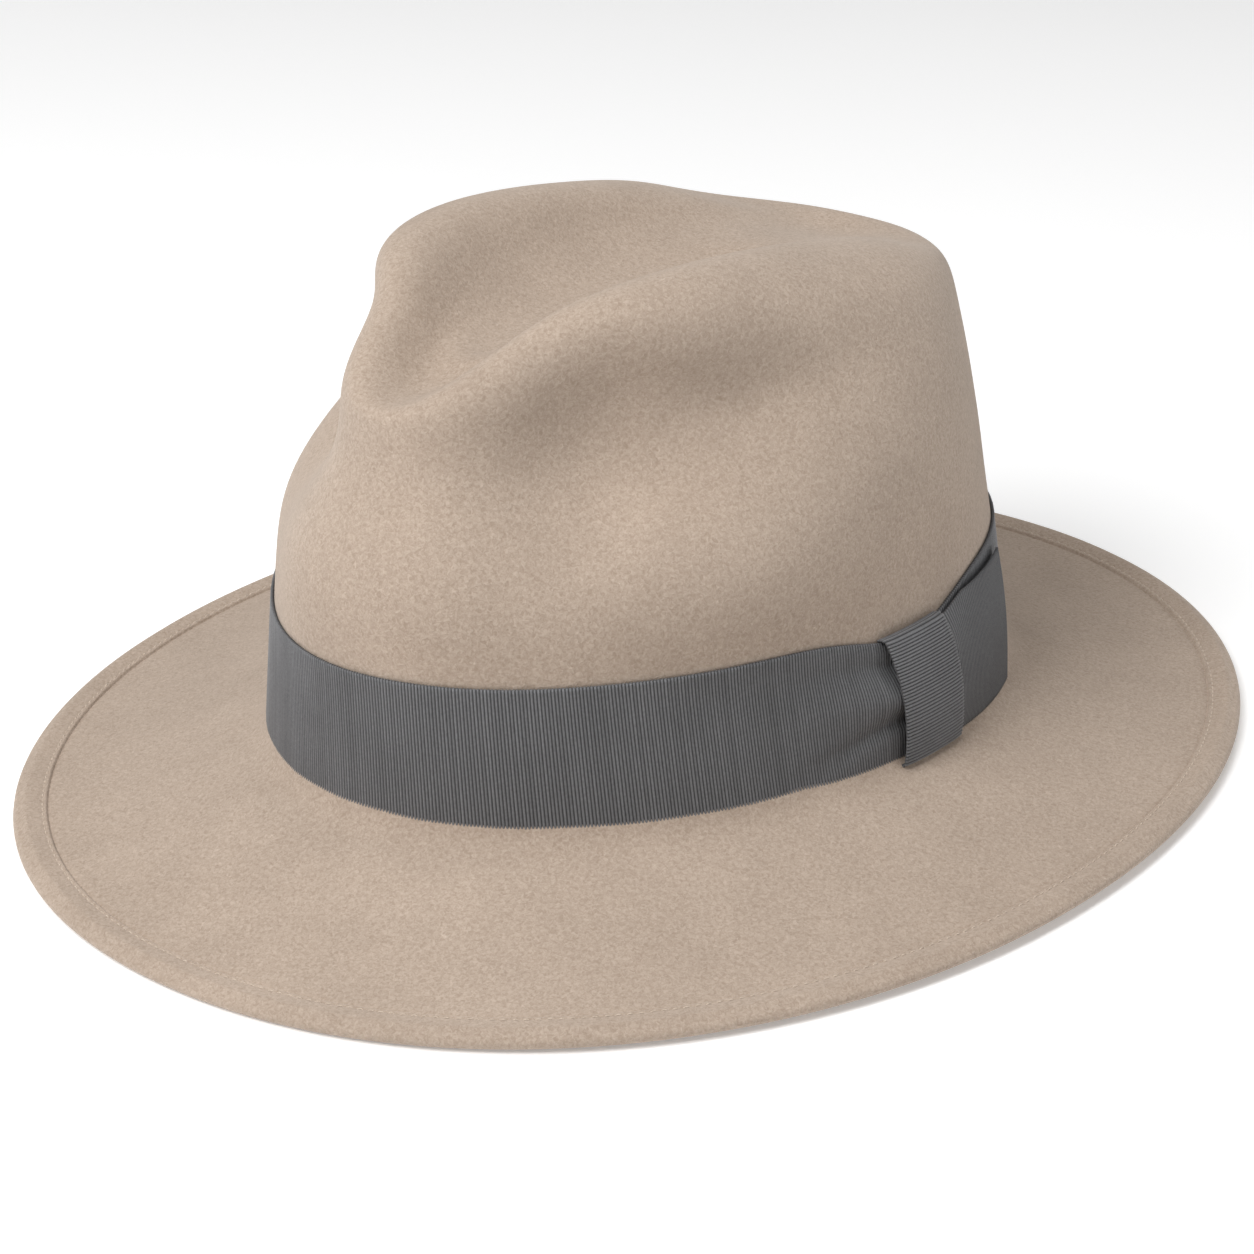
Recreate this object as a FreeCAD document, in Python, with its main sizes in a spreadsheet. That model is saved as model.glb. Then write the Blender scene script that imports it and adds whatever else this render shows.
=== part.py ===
import FreeCAD, Part
import Sketcher
import math
import os

# Pinch-front felt fedora with a grosgrain band, side bow, leather sweatband and satin lining.
# Millimetres. +Z is up, the front of the hat faces -Y, the wearer's left side is +X.
# Origin: on the resting plane, under the middle of the brim oval.
# "Crown frame": z = 0 on the brim break, where the crown's outer wall meets the brim.

os.makedirs("parts", exist_ok=True)
doc = FreeCAD.newDocument("fedora")
Vec = FreeCAD.Vector

# ---------------------------------------------------------------- sizes
SIZES = [
    ("crown_half_length", 105.0),
    ("crown_half_width", 86.5),
    ("crown_height", 102.0),
    ("brim_depth_front", 63.2),
    ("brim_depth_side", 58.8),
    ("brim_drop", 15.5),
    ("felt_thickness", 2.2),
    ("welt_width", 6.5),
    ("welt_rise", 1.6),
    ("welt_step", 0.8),
    ("brim_saddle", 0.8),
    ("band_top", 37.3),
    ("band_bottom", 0.6),
    ("band_thickness", 0.7),
    ("band_gap", 0.3),
    ("gather_pull", 7.4),
    ("gather_swell", 1.6),
    ("knot_width", 19.0),
    ("knot_crown", 1.6),
    ("tail_height", 34.0),
    ("tail_length", 39.0),
    ("ribbon_clearance", 0.3),
    ("sweatband_height", 54.0),
    ("leather_thickness", 1.0),
    ("lining_thickness", 0.4),
    ("lining_gap", 0.4),
    ("reed_diameter", 2.2),
    ("thread_diameter", 0.6),
    ("rear_bow_width", 22.0),
    ("rear_bow_height", 10.0),
    ("rear_bow_thickness", 0.7),
]
sheet = doc.addObject("Spreadsheet::Sheet", "Sizes")
for row_index, (alias, value) in enumerate(SIZES):
    cell = "B%d" % (row_index + 1)
    sheet.set("A%d" % (row_index + 1), alias)
    sheet.set(cell, str(value))
    sheet.setAlias(cell, alias)
doc.recompute()


def size(alias):
    """Value of one named size."""
    return float(sheet.get(alias))


LENGTH = size("crown_half_length")
WIDTH = size("crown_half_width")
HEIGHT = size("crown_height")
FELT = size("felt_thickness")
DROP = size("brim_drop")
WELT = size("welt_width")
WELT_RISE = size("welt_rise")
WELT_STEP = size("welt_step")
BAND_TOP = size("band_top")
BAND_LOW = size("band_bottom")
BAND_T = size("band_thickness")
BAND_GAP = size("band_gap")
CLEAR = size("ribbon_clearance")
LEATHER = size("leather_thickness")
LINING = size("lining_thickness")
LINING_GAP = size("lining_gap")
REED = size("reed_diameter")
THREAD = size("thread_diameter")

COLUMNS = 48
EGG = 0.055               # the base oval is wider at the back
CROWN_PITCH = -1.7        # degrees: the crown leans this far forward of the brim
CROWN_SHIFT = -1.57       # the crown stands this far forward of the brim's middle
BRIM_SQUARENESS = 2.06    # exponent of the brim oval
BRIM_EGG = -0.023
EDGE_ROUND = 0.5 * (FELT + WELT_RISE)
BREAK_HEIGHT = DROP + size("brim_saddle") + EDGE_ROUND

# Crown rows, bottom to top of the outside and then down into the crease.
# length, width, offset along Y: shares of the crown's half length and half width.
# height, front, back: shares of the crown's height; front and back are added at those ends.
# egg: widening of the back; pinch: depth of the two front pinches as a share of the width.
CROWN_ROWS = [
    dict(length=1.000, width=1.000, offset=0.000, height=0.000, egg=EGG),
    dict(length=0.997, width=0.917, offset=0.000, height=0.363, egg=EGG),
    dict(length=0.986, width=0.906, offset=-0.025, height=0.588, egg=EGG, pinch=0.037),
    dict(length=0.882, width=0.864, offset=0.020, height=0.844, egg=EGG,
         front=-0.050, back=-0.030, pinch=0.169),
    dict(length=0.894, width=0.770, offset=0.031, height=1.135, egg=0.010,
         front=-0.214, back=-0.099, pinch=0.118),
    dict(length=0.816, width=0.416, offset=-0.039, height=1.298, egg=0.030,
         front=-0.325, back=-0.331, pinch=0.084),
    dict(length=0.628, width=0.313, offset=-0.025, height=1.116, egg=0.180,
         front=-0.162, back=-0.098, pinch=0.021),
    dict(length=0.503, width=0.162, offset=-0.064, height=1.030, egg=0.000, front=-0.007),
    dict(length=0.402, width=0.058, offset=-0.079, height=0.997, egg=0.000),
]
LAST_ROW = len(CROWN_ROWS) - 1
FRONT_SHARPNESS = 6.8     # how quickly the front dip of a row fades towards the sides
BACK_SHARPNESS = 3.0
PINCH_ANGLE = 39.6        # degrees from the front
PINCH_SPREAD = 17.0
# Modelling of the two sides: mm into the crown for a crown of 100 mm, negative is outwards.
# One line for each half row from 1.5 up, one column for each 18 degrees from 36 behind the front.
SIDE_FORM = [
    (0.9, -3.9, -4.2, -0.7, -0.8, 0.5, 0.7),
    (-0.1, -1.9, -3.7, -1.5, -1.0, 0.4, 0.5),
    (0.6, 4.6, 0.3, -1.7, -1.0, 0.6, 0.4),
    (5.3, 12.9, 9.7, 2.3, -1.0, 0.1, 0.9),
    (6.2, 14.2, 16.6, 6.2, -0.3, 1.4, 1.0),
    (2.5, 5.8, 6.2, 2.6, -0.7, -1.5, -0.6),
    (-1.1, -1.7, -1.1, 0.9, 0.8, -1.1, 4.3),
]
SIDE_ROW = 1.5
SIDE_ROW_STEP = 0.5
SIDE_ANGLE = 36.0
SIDE_ANGLE_STEP = 18.0


def bell(value, centre, spread):
    """Smooth bump: 1 at the centre."""
    return math.exp(-((value - centre) / spread) ** 2)


def ease(value):
    """Smooth step from 0 to 1."""
    t = min(max(value, 0.0), 1.0)
    return t * t * (3.0 - 2.0 * t)


def angle_of(column):
    return 2.0 * math.pi * column / COLUMNS


def front_angle(theta):
    """Degrees away from the hat's front, 0 to 180."""
    return math.degrees(math.acos(min(max(-math.sin(theta), -1.0), 1.0)))


def oval(half_length, half_width, egg, theta):
    """Egg-shaped oval, wider at the back for a positive egg."""
    s = math.sin(theta)
    return half_width * math.cos(theta) * (1.0 + egg * s), half_length * s


def control_point(row, theta):
    """Control point of one crown row."""
    s = math.sin(theta)
    a = row["length"] * LENGTH
    b = row["width"] * WIDTH
    front = ((1.0 - s) / 2.0) ** FRONT_SHARPNESS
    back = ((1.0 + s) / 2.0) ** BACK_SHARPNESS
    away = front_angle(theta)
    pinch = bell(away, PINCH_ANGLE, PINCH_SPREAD)
    nose = bell(away, 0.0, PINCH_SPREAD) * bell(PINCH_ANGLE, 0.0, PINCH_SPREAD)
    radius = math.hypot(a * s, b * math.cos(theta))
    keep = 1.0 - row.get("pinch", 0.0) * WIDTH * (pinch - 0.5 * nose) / radius
    x, y = oval(a, b, row["egg"], theta)
    z = row["height"] + row.get("front", 0.0) * front + row.get("back", 0.0) * back
    return Vec(x * keep, y * keep + row["offset"] * LENGTH, z * HEIGHT)


def mix(points, t):
    """Uniform cubic B-spline through four control points."""
    w0 = (1.0 - t) ** 3 / 6.0
    w1 = (3.0 * t ** 3 - 6.0 * t * t + 4.0) / 6.0
    w2 = (-3.0 * t ** 3 + 3.0 * t * t + 3.0 * t + 1.0) / 6.0
    w3 = t ** 3 / 6.0
    return points[0] * w0 + points[1] * w1 + points[2] * w2 + points[3] * w3


def smooth_point(v, theta):
    """Crown surface without the side hollows; v runs from 0 at the brim break to LAST_ROW."""
    rows = [control_point(row, theta) for row in CROWN_ROWS]
    rows = [rows[0] * 2.0 - rows[1]] + rows + [rows[-1] * 2.0 - rows[-2]]
    k = min(int(v), LAST_ROW - 1)
    return mix(rows[k:k + 4], v - k)


def weight(distance):
    """Weight of one table value at a distance counted in table steps."""
    d = abs(distance)
    if d < 1.0:
        return 2.0 / 3.0 - d * d + 0.5 * d ** 3
    if d < 2.0:
        return (2.0 - d) ** 3 / 6.0
    return 0.0


def side_depth(v, theta):
    """Depth of the long hollow under each ridge, or height of the bulge below it."""
    away = front_angle(theta)
    depth = 0.0
    for i, line in enumerate(SIDE_FORM):
        across = weight((v - SIDE_ROW) / SIDE_ROW_STEP - i)
        if across == 0.0:
            continue
        for j, value in enumerate(line):
            depth += value * across * weight((away - SIDE_ANGLE) / SIDE_ANGLE_STEP - j)
    return depth * HEIGHT / 100.0


def normal_of(surface, v, theta, top):
    """Unit normal pointing out of the crown."""
    dv = 0.02
    dt = 0.01
    low = max(v - dv, 0.0)
    high = min(v + dv, top)
    along = surface(v, theta + dt) - surface(v, theta - dt)
    up = surface(high, theta) - surface(low, theta)
    out = along.cross(up)
    out.normalize()
    return out


def crown_point(v, theta):
    """Outer surface of the felt crown, crown frame."""
    p = smooth_point(v, theta)
    depth = side_depth(v, theta)
    if depth == 0.0:
        return p
    return p - normal_of(smooth_point, v, theta, LAST_ROW) * depth


def inside(v, theta, depth):
    """Point the given depth inside the crown's outer surface."""
    out = normal_of(crown_point, v, theta, LAST_ROW)
    flat = ease((v - LAST_ROW + 0.8) / 0.8)
    out = out * (1.0 - flat) + Vec(0.0, 0.0, 1.0) * flat
    upright = ease((0.5 - v) / 0.5)
    level = Vec(out.x, out.y, 0.0)
    if level.Length > 1e-6:
        level.normalize()
        out = out * (1.0 - upright) + level * upright
    out.normalize()
    return crown_point(v, theta) - out * depth


def to_hat(p):
    """Crown frame to hat frame."""
    tilt = math.radians(CROWN_PITCH)
    y = p.y * math.cos(tilt) - p.z * math.sin(tilt)
    z = p.y * math.sin(tilt) + p.z * math.cos(tilt)
    return Vec(p.x, y + CROWN_SHIFT, z + BREAK_HEIGHT)


def loop(function):
    """One closed row of points round the hat."""
    return [function(angle_of(c)) for c in range(COLUMNS)]


def crown_loop(v, depth=0.0):
    if depth == 0.0:
        return loop(lambda t: to_hat(crown_point(v, t)))
    return loop(lambda t: to_hat(inside(v, t, depth)))


# ---------------------------------------------------------------- surface helpers
def poles_of(points):
    """Poles whose closed cubic B-spline runs through the points."""
    n = len(points)
    out = []
    for i, p in enumerate(points):
        bend = points[i - 1] + points[(i + 1) % n] - p * 2.0
        out.append(p - bend * (1.0 / 6.0))
    return out


def clamped(count):
    """Degree, knots and multiplicities of an open B-spline with a number of poles."""
    degree = min(3, count - 1)
    spans = count - degree
    knots = [float(i) for i in range(spans + 1)]
    mults = [degree + 1] + [1] * (spans - 1) + [degree + 1]
    return degree, knots, mults


def skin(rows):
    """Face through closed rows of points, smooth round the hat."""
    poles = [poles_of(row) for row in rows]
    degree, knots, mults = clamped(len(rows))
    ring = [float(i) for i in range(COLUMNS + 1)]
    ring_mults = [1] * (COLUMNS + 1)
    surface = Part.BSplineSurface()
    surface.buildFromPolesMultsKnots(poles, mults, ring_mults, knots, ring, False, True, degree, 3)
    return surface.toShape()


def cap(row):
    """Flat face inside one closed level row."""
    poles = poles_of(row)
    curve = Part.BSplineCurve()
    knots = [float(i) for i in range(COLUMNS + 1)]
    curve.buildFromPolesMultsKnots(poles, [1] * (COLUMNS + 1), knots, True, 3)
    return Part.Face(Part.Wire(curve.toShape()))


def close_up(faces):
    """Solid bounded by the faces."""
    shell = Part.makeShell(faces)
    shell.sewShape(0.001)
    solid = Part.makeSolid(shell.Shells[0])
    if solid.Volume < 0:
        solid.reverse()
    return solid


def ring_solid(corners):
    """Closed ring from lists of rows, one list for each side of its section."""
    return close_up([skin(rows) for rows in corners])


def cord_ring(centre, radius):
    """Round cord along a closed line of points."""
    sides = 8
    rows = []
    for k in range(sides + 1):
        turn = 2.0 * math.pi * k / sides
        row = []
        for c in range(COLUMNS):
            before = centre[c - 1]
            after = centre[(c + 1) % COLUMNS]
            along = after - before
            out = Vec(along.y, -along.x, 0.0)
            out.normalize()
            row.append(centre[c] + out * (radius * math.cos(turn)) + Vec(0, 0, radius * math.sin(turn)))
        rows.append(row)
    faces = [skin([rows[k], rows[k + 1]]) for k in range(sides)]
    return close_up(faces)


def patch(grid):
    """Smooth open face over a grid of poles."""
    degree_u, knots_u, mults_u = clamped(len(grid))
    degree_v, knots_v, mults_v = clamped(len(grid[0]))
    surface = Part.BSplineSurface()
    surface.buildFromPolesMultsKnots(
        grid, mults_u, mults_v, knots_u, knots_v, False, False, degree_u, degree_v)
    return surface.toShape()


def edge_strip(line_a, line_b):
    """Ruled face between two lines of poles."""
    return patch([line_a, line_b])


def plate(outer, inner):
    """Thin curved plate between two matching grids of points."""
    faces = [patch(outer), patch(inner)]
    faces.append(edge_strip(outer[0], inner[0]))
    faces.append(edge_strip(outer[-1], inner[-1]))
    faces.append(edge_strip([row[0] for row in outer], [row[0] for row in inner]))
    faces.append(edge_strip([row[-1] for row in outer], [row[-1] for row in inner]))
    return close_up(faces)


def add_part(name, shape):
    """Named sub-part, with its own placement at the hat's origin."""
    feature = doc.addObject("Part::Feature", name)
    feature.Label = name
    feature.Shape = shape
    feature.Placement = FreeCAD.Placement(Vec(0, 0, 0), FreeCAD.Rotation())
    return feature


# ---------------------------------------------------------------- brim
BRIM_LENGTH = LENGTH + size("brim_depth_front")
BRIM_WIDTH = WIDTH + size("brim_depth_side")


def brim_edge(theta, inset=0.0):
    """Middle of the rolled edge, or a line inset from it."""
    power = 2.0 / BRIM_SQUARENESS
    c = math.cos(theta)
    s = math.sin(theta)
    x = (BRIM_WIDTH - inset) * math.copysign(abs(c) ** power, c) * (1.0 + BRIM_EGG * s)
    y = (BRIM_LENGTH - inset) * math.copysign(abs(s) ** power, s)
    saddle = size("brim_saddle") * (1.0 + math.cos(2.0 * theta))
    return Vec(x, y, EDGE_ROUND + saddle)


def brim_point(theta, share, lift=0.0, thickness=0.0):
    """Brim's upper surface; share runs from 0 at the break to 1 at the edge line."""
    start = to_hat(inside(0.0, theta, thickness)) if thickness else to_hat(crown_point(0.0, theta))
    end = brim_edge(theta)
    p = start + (end - start) * share
    sag = 0.12 * DROP * 4.0 * share * (1.0 - share)
    top = p.z - sag + (0.5 * FELT) * share ** 4
    return Vec(p.x, p.y, top + lift)


def brim_share(inset):
    """Share of the brim at a distance in from its edge."""
    return 1.0 - inset / (0.5 * (size("brim_depth_front") + size("brim_depth_side")))


def felt_body():
    """Crown and brim in one piece of blocked felt, with the brim's edge folded over as a welt."""
    steps = 4
    outer_v = [LAST_ROW - k / steps for k in range(LAST_ROW * steps + 1)]
    crown_out = [crown_loop(v) for v in outer_v]
    shares = [0.0, 0.06, 0.14, 0.26, 0.4, 0.55, 0.7, 0.82, brim_share(WELT)]
    brim_top = [loop(lambda t, k=k: brim_point(t, k)) for k in shares]
    welt = [
        brim_top[-1],
        loop(lambda t: brim_point(t, brim_share(WELT - 0.4), WELT_STEP * 0.9)),
        loop(lambda t: brim_point(t, brim_share(WELT - 1.4), WELT_STEP)),
        loop(lambda t: brim_point(t, brim_share(WELT * 0.4), WELT_RISE)),
        loop(lambda t: brim_edge(t) + Vec(0, 0, EDGE_ROUND)),
        loop(lambda t: brim_edge(t, -EDGE_ROUND) + Vec(0, 0, EDGE_ROUND * 0.8)),
        loop(lambda t: brim_edge(t, -EDGE_ROUND) - Vec(0, 0, EDGE_ROUND * 0.8)),
        loop(lambda t: brim_edge(t) - Vec(0, 0, EDGE_ROUND)),
        loop(lambda t: brim_point(t, brim_share(WELT * 0.4), -FELT)),
        loop(lambda t: brim_point(t, brim_share(WELT), -FELT)),
    ]
    under = [welt[-1]]
    for share in (0.8, 0.65, 0.5, 0.35, 0.2, 0.08):
        under.append(loop(lambda t, k=share: brim_point(t, k, -FELT)))
    base_in = loop(lambda t: to_hat(inside(0.0, t, FELT) - Vec(0, 0, FELT)))
    under.append(base_in)
    crown_in = [base_in] + [crown_loop(v, FELT) for v in reversed(outer_v)]
    faces = [
        cap(crown_out[0]),
        skin(crown_out),
        skin(brim_top),
        skin(welt),
        skin(under),
        skin(crown_in),
        cap(crown_in[-1]),
    ]
    return close_up(faces)


def brim_stitching():
    """Upper and lower thread of the seam that holds the welt."""
    at = brim_share(WELT - 1.2)
    upper = loop(lambda t: brim_point(t, at, WELT_STEP + 0.8 * THREAD))
    lower = loop(lambda t: brim_point(t, at, -FELT - 0.7 * THREAD))
    return Part.makeCompound([cord_ring(upper, 0.5 * THREAD), cord_ring(lower, 0.5 * THREAD)])


# ---------------------------------------------------------------- ribbon band and bow
KNOT_ANGLE = 5.6          # degrees behind the wearer's left side
GATHER_SPREAD = 13.0
KNOT_LIFT = 0.5           # how far the strap's ends stand off the swollen band
TAIL_SLANT = 2.0          # degrees: the tail is cut this much further back at its top


def v_at(height):
    """Row value on the near-straight lower wall at a height above the break."""
    low = 0.0
    high = 3.0
    for _ in range(30):
        middle = 0.5 * (low + high)
        if crown_point(middle, 0.0).z < height:
            low = middle
        else:
            high = middle
    return 0.5 * (low + high)


def gather(theta):
    """1 at the knot, fading towards the front of it."""
    return bell(math.degrees(theta), KNOT_ANGLE, GATHER_SPREAD)


def wall(theta, height, out):
    """Point at a height on the crown's lower wall, moved out of it."""
    return inside(v_at(height), theta, -out)


def signed(theta):
    """Angle in -pi to pi."""
    return math.atan2(math.sin(theta), math.cos(theta))


def band_low(theta):
    """Height of the band's lower edge, a little raised where it is gathered."""
    return BAND_LOW + 0.12 * size("gather_pull") * gather(theta)


def band_high(theta):
    """Height of the band's upper edge, pulled down where it is gathered."""
    return BAND_TOP - size("gather_pull") * gather(theta)


def band_swell(theta, share):
    """How far the gathered band stands off the crown."""
    return size("gather_swell") * gather(theta) * math.sin(math.pi * share)


def hatband():
    """Grosgrain band; it narrows and swells where it is gathered at the knot."""
    rows = 5
    outer = []
    inner = []
    for k in range(rows):
        share = k / (rows - 1.0)

        def point(t, out, share=share):
            a = signed(t)
            height = band_low(a) + (band_high(a) - band_low(a)) * share
            return to_hat(wall(t, height, BAND_GAP + band_swell(a, share) + out))

        inner.append(loop(lambda t: point(t, 0.0)))
        outer.append(loop(lambda t: point(t, BAND_T)))
    low = [inner[0], outer[0]]
    high = [outer[-1], inner[-1]]
    return ring_solid([outer, high, list(reversed(inner)), low])


def knot_angles():
    half = math.degrees(0.5 * size("knot_width") / WIDTH)
    return math.radians(KNOT_ANGLE - half), math.radians(KNOT_ANGLE + half)


def bow_knot():
    """Ribbon strap wrapped over the gathered band, its two ends turned in to the crown."""
    start, end = knot_angles()
    stations = 5
    bottom = min(band_low(start), band_low(end)) - BAND_T - CLEAR
    top = max(band_high(start), band_high(end)) + BAND_T + CLEAR
    over = BAND_GAP + size("gather_swell") + BAND_T + CLEAR + KNOT_LIFT
    bow = size("knot_crown")
    sections = []
    for k in range(stations):
        t = start + (end - start) * k / (stations - 1.0)
        outline = [
            (bottom, BAND_GAP),
            (bottom, over - 0.4 * bow + BAND_T),
            (0.75 * bottom + 0.25 * top, over + 0.7 * bow + BAND_T),
            (0.5 * (bottom + top), over + bow + BAND_T),
            (0.25 * bottom + 0.75 * top, over + 0.7 * bow + BAND_T),
            (top, over - 0.4 * bow + BAND_T),
            (top, BAND_GAP),
            (top - BAND_T, BAND_GAP),
            (top - BAND_T, over - 0.4 * bow),
            (0.25 * bottom + 0.75 * top, over + 0.7 * bow),
            (0.5 * (bottom + top), over + bow),
            (0.75 * bottom + 0.25 * top, over + 0.7 * bow),
            (bottom + BAND_T, over - 0.4 * bow),
            (bottom + BAND_T, BAND_GAP),
        ]
        middle = wall(t, 0.5 * top, 0.0)
        out = wall(t, 0.5 * top, 1.0) - middle
        out = Vec(out.x, out.y, 0.0)
        out.normalize()
        points = []
        for h, o in outline:
            reach = (wall(t, h, o) - middle).dot(out)
            points.append(to_hat(Vec(middle.x, middle.y, h) + out * reach))
        sections.append(Part.makePolygon(points + [points[0]]))
    return Part.makeLoft(sections, True, True)


def bow_tail():
    """Loose ribbon end behind the knot, cut nearly straight and standing a little off the band."""
    start = knot_angles()[1] + math.radians(0.3)
    top_end = start + size("tail_length") / (0.5 * (LENGTH + WIDTH))
    bottom_end = top_end - math.radians(TAIL_SLANT)
    lines = 7
    stations = 9
    outer = []
    inner = []
    for i in range(lines):
        share = i / (lines - 1.0)
        end = bottom_end + (top_end - bottom_end) * share
        row_out = []
        row_in = []
        for j in range(stations):
            along = j / (stations - 1.0)
            t = start + (end - start) * along
            low = band_low(t)
            high = min(band_high(t) - CLEAR, size("tail_height"))
            over = BAND_GAP + band_swell(t, share) + BAND_T + CLEAR
            stand = over + 0.9 * math.sin(math.pi * share) + 0.8 * share
            h = low + (high - low) * share
            row_in.append(to_hat(wall(t, h, stand)))
            row_out.append(to_hat(wall(t, h, stand + BAND_T)))
        outer.append(row_out)
        inner.append(row_in)
    return plate(outer, inner)


# ---------------------------------------------------------------- inside of the hat
LINING_DEPTH = FELT + LINING_GAP
LEATHER_DEPTH = LINING_DEPTH + LINING + LINING_GAP
LINING_TOP_ROW = 2.9
REED_LEVEL = -FELT + 0.5 * REED


def lining_side():
    """Satin side panel; its lower edge is held behind the sweatband."""
    levels = [v_at(8.0) + (LINING_TOP_ROW - v_at(8.0)) * k / 10.0 for k in range(11)]
    outer = [crown_loop(v, LINING_DEPTH) for v in levels]
    inner = [crown_loop(v, LINING_DEPTH + LINING) for v in levels]
    low = [inner[0], outer[0]]
    high = [outer[-1], inner[-1]]
    return ring_solid([outer, high, list(reversed(inner)), low])


def lining_tip():
    """Satin top panel, closing the side panel under the crease."""
    rim = loop(lambda t: inside(LINING_TOP_ROW + 0.06, t, LINING_DEPTH))
    top_level = 0.93 * HEIGHT - LINING
    middle_y = -0.03 * LENGTH

    def ring(share, drop):
        row = []
        for p in rim:
            rise = (top_level - p.z) * ease(share * 1.4)
            flat = Vec(p.x * (1.0 - share), middle_y + (p.y - middle_y) * (1.0 - share), p.z + rise)
            row.append(to_hat(flat - Vec(0, 0, drop)))
        return row

    shares = [0.0, 0.08, 0.18, 0.3, 0.45, 0.6, 0.75, 0.9]
    outer = [ring(s, 0.0) for s in shares]
    inner = [ring(s, LINING) for s in shares]
    faces = [skin(outer), cap(outer[-1]), skin(inner), cap(inner[-1]), skin([outer[0], inner[0]])]
    return close_up(faces)


def sweatband():
    """Leather band inside the head opening, above its reed."""
    bottom = REED_LEVEL + 0.5 * REED + 0.1
    rows = 6
    outer = []
    inner = []
    for k in range(rows):
        h = bottom + (size("sweatband_height") - bottom) * k / (rows - 1.0)
        outer.append(loop(lambda t: to_hat(wall(t, h, -LEATHER_DEPTH))))
        inner.append(loop(lambda t: to_hat(wall(t, h, -LEATHER_DEPTH - LEATHER))))
    return ring_solid([outer, [outer[-1], inner[-1]], list(reversed(inner)), [inner[0], outer[0]]])


def sweatband_reed():
    """Covered reed along the sweatband's lower edge, at the brim break."""
    depth = LEATHER_DEPTH + 0.5 * LEATHER
    centre = loop(lambda t: to_hat(inside(0.0, t, depth) + Vec(0, 0, REED_LEVEL)))
    return cord_ring(centre, 0.5 * REED)


def sweatband_stitching():
    """Thread of the seam between the leather and the reed's cover."""
    level = REED_LEVEL + 0.5 * REED + 2.0
    centre = loop(lambda t: to_hat(wall(t, level, -LEATHER_DEPTH - LEATHER - 0.6 * THREAD)))
    return cord_ring(centre, 0.5 * THREAD)


add_part("felt_body", felt_body())
add_part("brim_stitching", brim_stitching())
add_part("hatband", hatband())
add_part("bow_knot", bow_knot())
add_part("bow_tail", bow_tail())
add_part("lining_side", lining_side())
add_part("lining_tip", lining_tip())
add_part("sweatband", sweatband())
add_part("sweatband_reed", sweatband_reed())
add_part("sweatband_stitching", sweatband_stitching())

# Small flat ribbon bow over the sweatband's back seam: one outline sketch, padded.
rear = doc.addObject("PartDesign::Body", "sweatband_rear_bow")
rear.Label = "sweatband_rear_bow"
outline = doc.addObject("Sketcher::SketchObject", "rear_bow_outline")
rear.addObject(outline)
half_w = 0.5 * size("rear_bow_width")
half_h = 0.5 * size("rear_bow_height")
waist = 0.28 * half_h
knot_half = 0.16 * half_w
corners = [
    (-half_w, -half_h),
    (-knot_half, -waist),
    (knot_half, -waist),
    (half_w, -half_h),
    (half_w, half_h),
    (knot_half, waist),
    (-knot_half, waist),
    (-half_w, half_h),
]
for k, (u, w) in enumerate(corners):
    u2, w2 = corners[(k + 1) % len(corners)]
    outline.addGeometry(Part.LineSegment(Vec(u, w, 0), Vec(u2, w2, 0)), False)
for k in range(len(corners)):
    outline.addConstraint(Sketcher.Constraint("Coincident", k, 2, (k + 1) % len(corners), 1))
ORIGIN = -1
outline.addConstraint(Sketcher.Constraint("Vertical", 3))
outline.addConstraint(Sketcher.Constraint("Horizontal", 1))
outline.addConstraint(Sketcher.Constraint("Horizontal", 0, 1, 3, 1))
outline.addConstraint(Sketcher.Constraint("Vertical", 2, 1, 5, 1))
width_full = outline.addConstraint(Sketcher.Constraint("DistanceX", 0, 1, 3, 1, 2.0 * half_w))
outline.renameConstraint(width_full, "full_width")
height_right = outline.addConstraint(Sketcher.Constraint("DistanceY", 3, 1, 4, 1, 2.0 * half_h))
outline.renameConstraint(height_right, "full_height")
outline.addConstraint(Sketcher.Constraint("Symmetric", 0, 1, 4, 1, ORIGIN, 1))
outline.addConstraint(Sketcher.Constraint("Symmetric", 3, 1, 7, 1, ORIGIN, 1))
outline.addConstraint(Sketcher.Constraint("Symmetric", 1, 1, 5, 1, ORIGIN, 1))
outline.addConstraint(Sketcher.Constraint("Symmetric", 2, 1, 6, 1, ORIGIN, 1))
knot_wide = outline.addConstraint(Sketcher.Constraint("DistanceX", 1, 1, 2, 1, 2.0 * knot_half))
outline.renameConstraint(knot_wide, "knot_wide")
knot_tall = outline.addConstraint(Sketcher.Constraint("DistanceY", 2, 1, 5, 1, 2.0 * waist))
outline.renameConstraint(knot_tall, "knot_tall")
outline.setExpression("Constraints.full_width", "Sizes.rear_bow_width")
outline.setExpression("Constraints.full_height", "Sizes.rear_bow_height")
outline.setExpression("Constraints.knot_wide", "Sizes.rear_bow_width * 0.16")
outline.setExpression("Constraints.knot_tall", "Sizes.rear_bow_height * 0.28")
pad = doc.addObject("PartDesign::Pad", "rear_bow_pad")
rear.addObject(pad)
pad.Profile = outline
pad.setExpression("Length", "Sizes.rear_bow_thickness")
seam = to_hat(wall(0.5 * math.pi, 12.0, -LEATHER_DEPTH - LEATHER))
side_seam = to_hat(wall(0.5 * math.pi + half_w / (0.8 * WIDTH), 12.0, -LEATHER_DEPTH - LEATHER))
stand_off = seam.y - side_seam.y + 0.35
rear.Placement = FreeCAD.Placement(Vec(0, seam.y - stand_off, seam.z), FreeCAD.Rotation(Vec(1, 0, 0), 90))

doc.recompute()

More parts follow.
